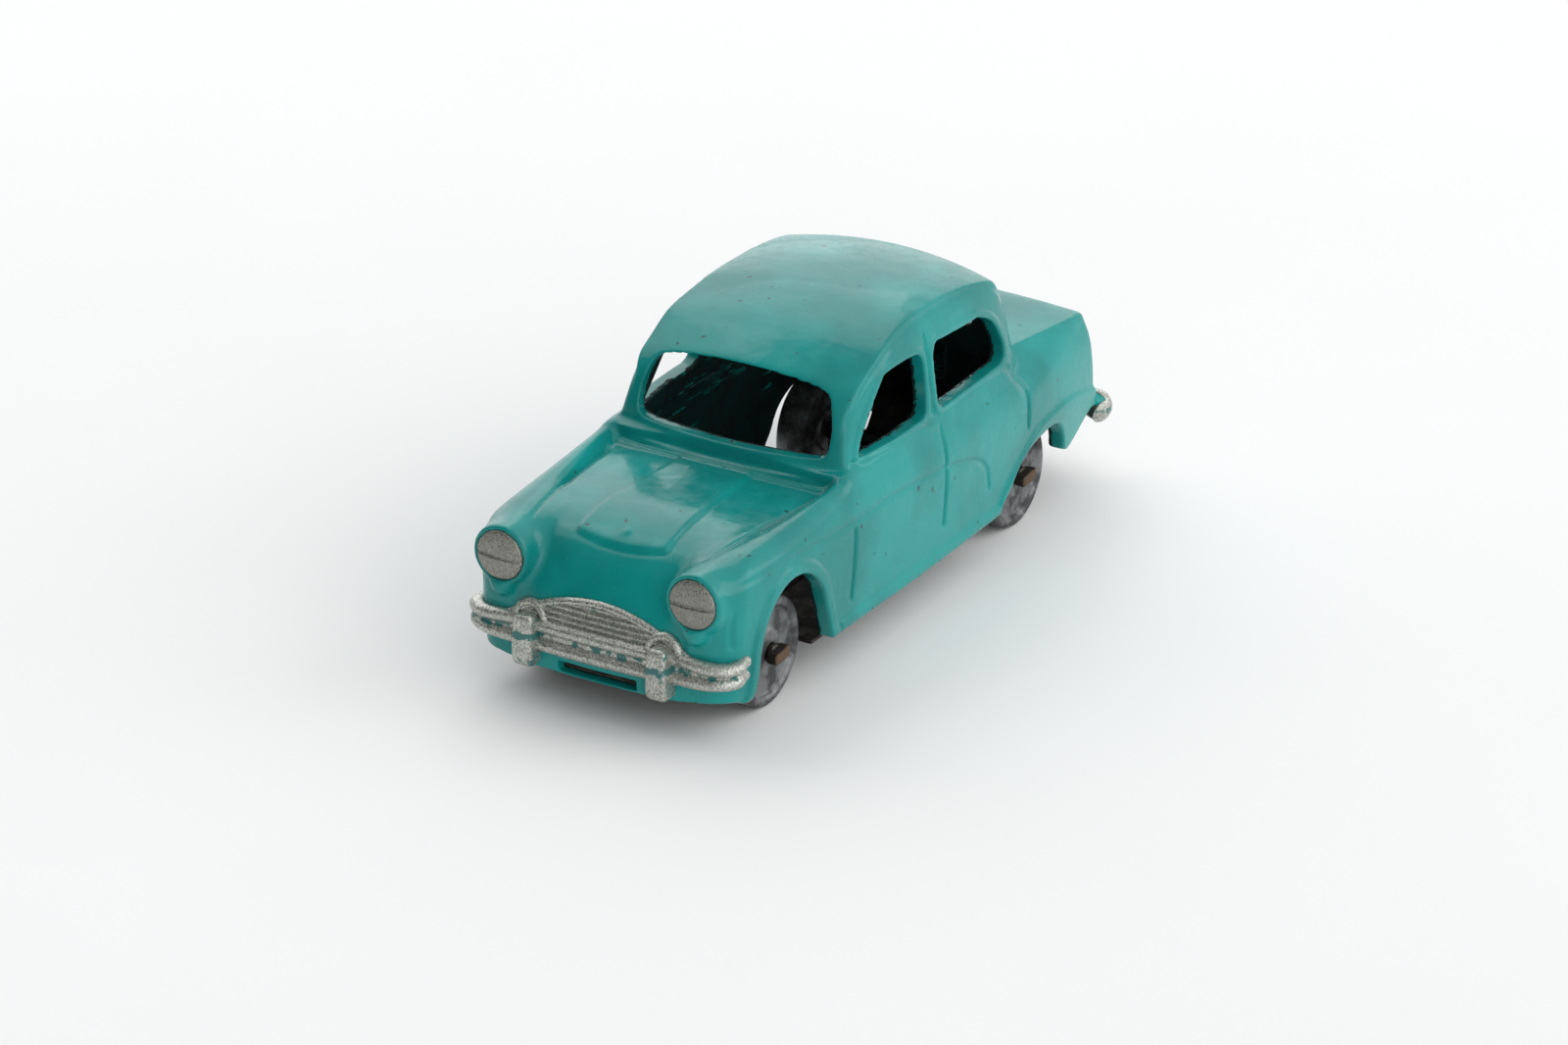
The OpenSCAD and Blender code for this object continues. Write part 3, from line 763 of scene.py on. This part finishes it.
def set_normals(mesh, values, start, step):
    """Gives each vertex the normal of the field, which is smoother than the faces are."""
    co = np.empty(len(mesh.vertices) * 3)
    mesh.vertices.foreach_get("co", co)
    place = (co.reshape(-1, 3) / MM - start) / step
    normal = np.stack([
        sampled(values, place + offset) - sampled(values, place - offset)
        for offset in np.eye(3) * 0.75
    ], 1)
    normal /= np.linalg.norm(normal, axis=1, keepdims=True) + 1e-9
    mesh.shade_smooth()
    mesh.normals_split_custom_set_from_vertices(normal.tolist())


def sampled(values, place):
    """Values of a 3D field at fractional places, straight between its samples."""
    place = np.clip(place, 0, np.array(values.shape) - 1.001)
    i = place.astype(int)
    t = place - i
    total = 0.0
    for corner in np.ndindex(2, 2, 2):
        weight = np.prod(np.where(corner, t, 1 - t), axis=1)
        total = total + weight * values[tuple((i + corner).T)]
    return total


def ride_for(obj, body, node):
    """Ties a piece to the body it moves with, and hides the CAD node it stands for."""
    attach(obj, body)
    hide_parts(node)


def on_side(x, y, z, field, side):
    """A field of the left side, turned over to the right for side = -1."""
    return field(x, y * side, z)


def build_body():
    lo, hi = (-30.4, 0, 1.4), (30.4, 11.8, 23.6)
    body = mesh_of("cast_body", body_casting, lo, hi, BODY_STEP, BODY_TRIANGLES)
    body.data.materials.append(enamel())
    body.data.materials.append(shaded_inside_paint())
    x, y, z = (np.array([p.center for p in body.data.polygons]) / MM).T
    skin = union(lower_body(x, abs(y), z, False), cabin(x, abs(y), z, False), 0.4)
    # Faces deep inside the wall get the second material, which paints the shade inside the hollow casting
    inside = skin < -SHADED_INSIDE_FROM * WALL
    body.data.polygons.foreach_set("material_index", inside.astype(np.int32))
    ride_for(body, "chassis", "body_casting")


def build_trim():
    """Everything that is raised on the casting and painted silver."""
    worn = silver_paint("worn_silver", 0.5)
    rubbed = silver_paint("rubbed_silver", 0.7)
    lens = silver_paint("speckled_lens", 0.06, LENS_PALE, LENS_DARK)
    # Name, field, both corners of the box it is in, CAD node, material
    across_car = [
        ("bumper_front", front_bumper, (25, 0, 3.6), (30.4, 11.8, 8.6), "front_bumper", worn),
        ("grille_bars", grille, (25.8, 0, 6), (30.2, 8, 9.4), "grille", worn),
        ("bumper_rear", rear_bumper, (-30.4, 0, 3.8), (-27, 11, 7), "rear_bumper", worn),
    ]
    for name, field, lo, hi, node, material in across_car:
        obj = mesh_of(name, field, lo, hi, TRIM_STEP, TRIM_TRIANGLES)
        obj.data.materials.append(material)
        ride_for(obj, "chassis", node)
    in_pairs = [
        ("front_guard", overrider, (27.8, 4.2, 2.8), (30.2, 6.7, 7.2), "front_overrider", rubbed),
        ("rear_guard", rear_overrider, (-30.2, 4.2, 4), (-27.8, 6.7, 7.4), "rear_overrider", worn),
        ("front_lens", headlamp, (27.9, 5.8, 8.8), (29.2, 9.9, 13), "headlamp", lens),
        ("rear_lens", tail_lamp, (-28.4, 7, 8), (-27.1, 9.8, 10.4), "tail_lamp", lens),
    ]
    for name, field, lo, hi, node, material in in_pairs:
        for side, word in ((1, "left"), (-1, "right")):
            near, far = sorted((lo[1] * side, hi[1] * side))
            corners = (lo[0], near, lo[2]), (hi[0], far, hi[2])
            sided = partial(on_side, field=field, side=side)
            obj = mesh_of(f"{name}_{word}", sided, *corners, TRIM_STEP, TRIM_TRIANGLES, mirror=False)
            obj.data.materials.append(material)
            ride_for(obj, "chassis", f"{node}_{word}")


def build_base_plate():
    lo, hi = (-27.3, 0, 2.1), (27.1, 9.7, 5.9)
    plate = mesh_of("pressed_plate", base_plate, lo, hi, PLATE_STEP, PLATE_TRIANGLES)
    plate.data.materials.append(cast_metal("plate_metal", PLATE_PALE, PLATE_DARK))
    ride_for(plate, "chassis", "base_plate")


def build_axles():
    material = axle_steel()
    for end, x in AXLE_X.items():
        lo, hi = (x - 1.3, 0, 2.7), (x + 1.3, 10.7, 5.5)
        obj = mesh_of(f"wire_{end}", partial(axle, axle_x=x), lo, hi, TRIM_STEP, AXLE_TRIANGLES)
        obj.data.materials.append(material)
        ride_for(obj, f"{end}_axle_body", f"{end}_axle")


def wheel_profile():
    """Half section of a wheel: (radius, distance outwards from its middle)."""
    half = (WHEEL_OUT - WHEEL_IN) / 2
    return [
        (BORE_R, -half), (1.6, -half), (1.7, -half + 0.2), (3.3, -half + 0.25), (3.45, -half),
        (3.85, -half), (4.02, -half + 0.08), (WHEEL_R, -half + 0.28), (WHEEL_R, half - 0.3),
        (4.02, half - 0.1), (3.85, half), (3.55, half), (3.4, half - 0.1), (3.3, half - 0.3),
        (3.15, half - 0.38), (2.0, half - 0.3), (1.8, half - 0.22), (1.65, half - 0.04), (1.5, half),
        (0.95, half), (BORE_R + 0.05, half - 0.03), (BORE_R, half - 0.12),
    ]


def build_wheels():
    profile = wheel_profile()
    metal = cast_metal("wheel_metal", WHEEL_PALE, WHEEL_DARK)
    for end, x in AXLE_X.items():
        for side, word in ((1, "left"), (-1, "right")):
            obj = turned(f"cast_wheel_{end}_{word}", profile, x, side)
            obj.data.materials.append(metal)
            ride_for(obj, f"{end}_{word}_wheel_body", f"wheel_{end}_{word}")


def turned(name, profile, x, side, segments=96):
    """A ring turned about the axle from a closed profile, with the unevenness of a casting."""
    points = []
    for i in range(segments):
        angle = 2 * math.pi * i / segments
        points += [place_on_wheel(radius, across, angle, x, side) for radius, across in profile]
    faces = []
    n = len(profile)
    for i in range(segments):
        here, after = i * n, ((i + 1) % segments) * n
        for j in range(n):
            k = (j + 1) % n
            face = (here + j, here + k, after + k, after + j)
            faces.append(face if side > 0 else face[::-1])
    mesh = bpy.data.meshes.new(name)
    mesh.from_pydata(points, [], faces)
    mesh.shade_smooth()
    mesh.set_sharp_from_angle(angle=math.radians(WHEEL_SHARP_ANGLE))
    obj = bpy.data.objects.new(name, mesh)
    bpy.context.scene.collection.objects.link(obj)
    return obj


def place_on_wheel(radius, across, angle, x, side):
    """One point of a wheel, in m. The bore and the tread stay true."""
    uneven = 0.012 * math.sin(3 * angle + radius) + 0.008 * math.sin(7 * angle + 2 * across)
    r = radius + uneven if 1 <= radius <= 4 else radius
    if 1 < radius < 3.4:
        across = across + uneven
    y = side * ((WHEEL_IN + WHEEL_OUT) / 2 + across)
    return ((x + r * math.cos(angle)) * MM, y * MM, (AXLE_Z + r * math.sin(angle)) * MM)


class Nodes:
    """Short names for the shader nodes of one material."""

    def __init__(self, name):
        self.material = bpy.data.materials.new(name)
        self.material.use_nodes = True
        self.tree = self.material.node_tree
        self.shader = self.tree.nodes["Principled BSDF"]
        place = self.tree.nodes.new("ShaderNodeTexCoord").outputs["Object"]
        self.mm = self.math3("SCALE", place, scale=1 / MM)

    def new(self, kind, **inputs):
        node = self.tree.nodes.new(kind)
        for name, value in inputs.items():
            self.put(node.inputs[name.replace("_", " ")], value)
        return node

    def put(self, socket, value):
        if isinstance(value, bpy.types.NodeSocket):
            self.tree.links.new(value, socket)
        else:
            socket.default_value = value

    def math3(self, operation, vector, scale):
        node = self.tree.nodes.new("ShaderNodeVectorMath")
        node.operation = operation
        self.put(node.inputs[0], vector)
        node.inputs["Scale"].default_value = scale
        return node.outputs[0]

    def math(self, operation, a, b=0.0):
        node = self.tree.nodes.new("ShaderNodeMath")
        node.operation = operation
        self.put(node.inputs[0], a)
        self.put(node.inputs[1], b)
        return node.outputs[0]

    def noise(self, scale, detail=3.0, roughness=0.55, distortion=0.0):
        node = self.new("ShaderNodeTexNoise", Vector=self.mm, Scale=scale, Detail=detail)
        self.put(node.inputs["Roughness"], roughness)
        self.put(node.inputs["Distortion"], distortion)
        return node.outputs["Fac"]

    def height(self, axis):
        """Place along one axis of the piece, in mm."""
        node = self.new("ShaderNodeSeparateXYZ", Vector=self.mm)
        return node.outputs[axis]

    def between(self, value, low, high, to_low=0.0, to_high=1.0):
        """Smooth step of a value from low to high, as a number from to_low to to_high."""
        node = self.new("ShaderNodeMapRange", Value=value, From_Min=low, From_Max=high)
        node.interpolation_type = "SMOOTHSTEP"
        self.put(node.inputs["To Min"], to_low)
        self.put(node.inputs["To Max"], to_high)
        return node.outputs["Result"]

    def blend(self, share, a, b):
        """Colour a where share is 0, and b where it is 1."""
        node = self.tree.nodes.new("ShaderNodeMix")
        node.data_type = "RGBA"
        self.put(node.inputs[0], share)
        self.put(node.inputs[6], a if isinstance(a, bpy.types.NodeSocket) else (*a, 1))
        self.put(node.inputs[7], b if isinstance(b, bpy.types.NodeSocket) else (*b, 1))
        return node.outputs[2]

    def bump(self, height, distance, strength=1.0):
        node = self.new("ShaderNodeBump", Height=height, Distance=distance * MM, Strength=strength)
        self.put(self.shader.inputs["Normal"], node.outputs["Normal"])

    def set(self, **inputs):
        for name, value in inputs.items():
            socket = self.shader.inputs[name.replace("_", " ")]
            if isinstance(value, tuple) and len(value) == 3:
                value = (*value, 1)
            self.put(socket, value)


def enamel():
    """Glossy turquoise paint with small pits and a little grime."""
    n = Nodes("enamel")
    colour = n.blend(n.between(n.noise(0.12), 0.35, 0.65), ENAMEL_DEEP, ENAMEL_PALE)
    speck = n.between(n.noise(1.1, detail=2), 0.72, 0.75)
    colour = n.blend(speck, colour, ENAMEL_SPECK)
    grime = n.between(n.noise(0.5, detail=5, roughness=0.7), 0.62, 0.85, 0, 0.35)
    colour = n.blend(grime, colour, ENAMEL_GRIME)
    roughness = n.between(n.noise(0.9), 0.3, 0.7, 0.16, 0.3)
    n.set(Base_Color=colour, Roughness=roughness, Specular_IOR_Level=0.2)
    n.set(Coat_Weight=0.2, Coat_Roughness=0.05)
    fine_ripple = n.math("MULTIPLY", n.noise(3.0, detail=2), 0.12)
    ripple = n.math("ADD", n.noise(0.55, detail=2), fine_ripple)
    n.bump(n.math("SUBTRACT", ripple, n.math("MULTIPLY", speck, 0.4)), 0.06)
    return n.material


def shaded_inside_paint():
    """The inside of the casting, enamelled like the outside but painted much darker as painted shade, with
    dusty mottling.
    """
    n = Nodes("shaded_inside_paint")
    dust = n.between(n.noise(0.6, detail=5, roughness=0.65), 0.4, 0.7)
    colour = n.blend(dust, INNER_SHADE, INNER_DUSTY_SHADE)
    n.set(Base_Color=colour, Roughness=0.7, Specular_IOR_Level=0.2)
    n.bump(n.noise(1.8, detail=4), 0.08)
    return n.material


def silver_paint(name, wear, pale=SILVER_PALE, dark=SILVER_DARK):
    """Thin silver paint, speckled, with the enamel showing through where it is rubbed off."""
    n = Nodes(name)
    grain = n.noise(8.0, detail=3, roughness=0.6)
    tarnish = n.between(n.noise(1.3, detail=4, roughness=0.6), 0.4, 0.62)
    silver = n.blend(n.between(grain, 0.32, 0.66), dark, pale)
    silver = n.blend(n.math("MULTIPLY", tarnish, 0.3), silver, dark)
    # The hollow between the two ribs of the bumpers was hardly reached by the brush
    off_hollow = n.math("ABSOLUTE", n.math("SUBTRACT", n.height("Z"), RIB_HOLLOW))
    hollow = n.math("MULTIPLY", n.between(off_hollow, 0.1, 0.45, 1, 0), 0.3 * wear)
    patches = n.math("ADD", n.noise(0.9, detail=5, roughness=0.65, distortion=0.6), hollow)
    level = 0.75 - 0.26 * wear
    rubbed = n.between(patches, level, level + 0.06)
    metallic = n.between(rubbed, 0, 1, 0.75, 0.0)
    roughness = n.between(grain, 0.3, 0.7, 0.26, 0.42)
    n.set(Base_Color=n.blend(rubbed, silver, RUBBED_ENAMEL), Metallic=metallic, Roughness=roughness)
    n.bump(n.math("ADD", grain, n.noise(1.6, detail=3)), 0.035)
    return n.material


def cast_metal(name, pale, dark):
    """Dull, blotchy metal with a slightly rough skin."""
    n = Nodes(name)
    blotch = n.between(n.noise(0.7, detail=6, roughness=0.65, distortion=0.4), 0.38, 0.62)
    roughness = n.between(blotch, 0, 1, 0.6, 0.42)
    n.set(Base_Color=n.blend(blotch, dark, pale), Metallic=0.7, Roughness=roughness)
    n.bump(n.noise(2.4, detail=5, roughness=0.65), 0.08)
    return n.material


def axle_steel():
    """Dark wire whose hammered ends have rusted."""
    n = Nodes("axle_steel")
    outwards = n.math("ABSOLUTE", n.height("Y"))
    outwards = n.math("ADD", outwards, n.math("MULTIPLY", n.noise(1.5), 0.5))
    rust = n.between(outwards, AXLE_END, AXLE_END + 0.2)
    metallic = n.between(rust, 0, 1, 0.8, 0.2)
    roughness = n.between(rust, 0, 1, 0.4, 0.8)
    n.set(Base_Color=n.blend(rust, WIRE_STEEL, WIRE_RUST), Metallic=metallic, Roughness=roughness)
    n.bump(n.noise(2.5, detail=5), 0.06)
    return n.material


def paper():
    """Matt white paper, very slightly mottled."""
    n = Nodes("paper")
    colour = n.blend(n.noise(0.02), PAPER_WARM, PAPER_COOL)
    n.set(Base_Color=colour, Roughness=0.9, Specular_IOR_Level=0.1)
    n.bump(n.noise(1.5), 0.01, 0.3)
    return n.material


def add_camera():
    data = bpy.data.cameras.new("camera")
    data.lens = CAMERA_LENS
    data.sensor_width = 36
    data.clip_start = 0.01
    camera = bpy.data.objects.new("camera", data)
    bpy.context.scene.collection.objects.link(camera)
    azimuth = math.radians(CAMERA_AZIMUTH)
    elevation = math.radians(CAMERA_ELEVATION)
    roll = math.radians(CAMERA_ROLL)
    back = Vector((
        math.cos(elevation) * math.cos(azimuth),
        math.cos(elevation) * math.sin(azimuth),
        math.sin(elevation),
    ))
    right = (-back).cross(Vector((0, 0, 1))).normalized()
    up = right.cross(-back)
    tilted_right = math.cos(roll) * right + math.sin(roll) * up
    tilted_up = -math.sin(roll) * right + math.cos(roll) * up
    turn = Matrix((tilted_right, tilted_up, back)).transposed()
    place = Vector(CAMERA_TARGET) * MM + back * CAMERA_DISTANCE
    camera.matrix_world = Matrix.Translation(place) @ turn.to_4x4()
    bpy.context.scene.camera = camera


def add_floor():
    mesh = bpy.data.meshes.new("floor")
    half = 1.5
    corners = [(-half, -half, 0), (half, -half, 0), (half, half, 0), (-half, half, 0)]
    mesh.from_pydata(corners, [], [(0, 1, 2, 3)])
    floor = bpy.data.objects.new("floor", mesh)
    bpy.context.scene.collection.objects.link(floor)
    floor.data.materials.append(paper())


def add_light(name, place, width, height, power):
    """A soft box that faces the car."""
    data = bpy.data.lights.new(name, "AREA")
    data.shape = "RECTANGLE"
    data.size = width
    data.size_y = height
    data.energy = power
    light = bpy.data.objects.new(name, data)
    light.location = place
    light.rotation_mode = "QUATERNION"
    light.rotation_quaternion = Vector(place).to_track_quat("Z", "Y")
    bpy.context.scene.collection.objects.link(light)


def add_lights():
    """Two soft glows of the room, and the soft boxes."""
    world = bpy.data.worlds.new("world")
    bpy.context.scene.world = world
    world.use_nodes = True
    tree = world.node_tree
    both = tree.nodes.new("ShaderNodeMath")
    both.operation = "ADD"
    for socket, (towards, strength) in zip(both.inputs, ROOM_GLOWS):
        tree.links.new(sky_glow(tree, towards, strength), socket)
    background = tree.nodes["Background"]
    background.inputs["Color"].default_value = (1, 1, 1, 1)
    tree.links.new(both.outputs[0], background.inputs["Strength"])
    for soft_box in SOFT_BOXES:
        add_light(*soft_box)


def sky_glow(tree, towards, strength):
    """Soft light from one half of the room, brightest in the direction given."""
    way = tree.nodes.new("ShaderNodeTexCoord").outputs["Generated"]
    facing = tree.nodes.new("ShaderNodeVectorMath")
    facing.operation = "DOT_PRODUCT"
    tree.links.new(way, facing.inputs[0])
    facing.inputs[1].default_value = towards
    fall = tree.nodes.new("ShaderNodeMapRange")
    fall.interpolation_type = "SMOOTHSTEP"
    tree.links.new(facing.outputs["Value"], fall.inputs["Value"])
    for name, value in (("From Min", -0.2), ("From Max", 1), ("To Min", 0), ("To Max", strength)):
        fall.inputs[name].default_value = value
    return fall.outputs["Result"]


# The default view transform greys the turquoise
bpy.context.scene.view_settings.view_transform = "Standard"

build_body()
build_trim()
build_base_plate()
build_axles()
build_wheels()
add_camera()
add_floor()
add_lights()
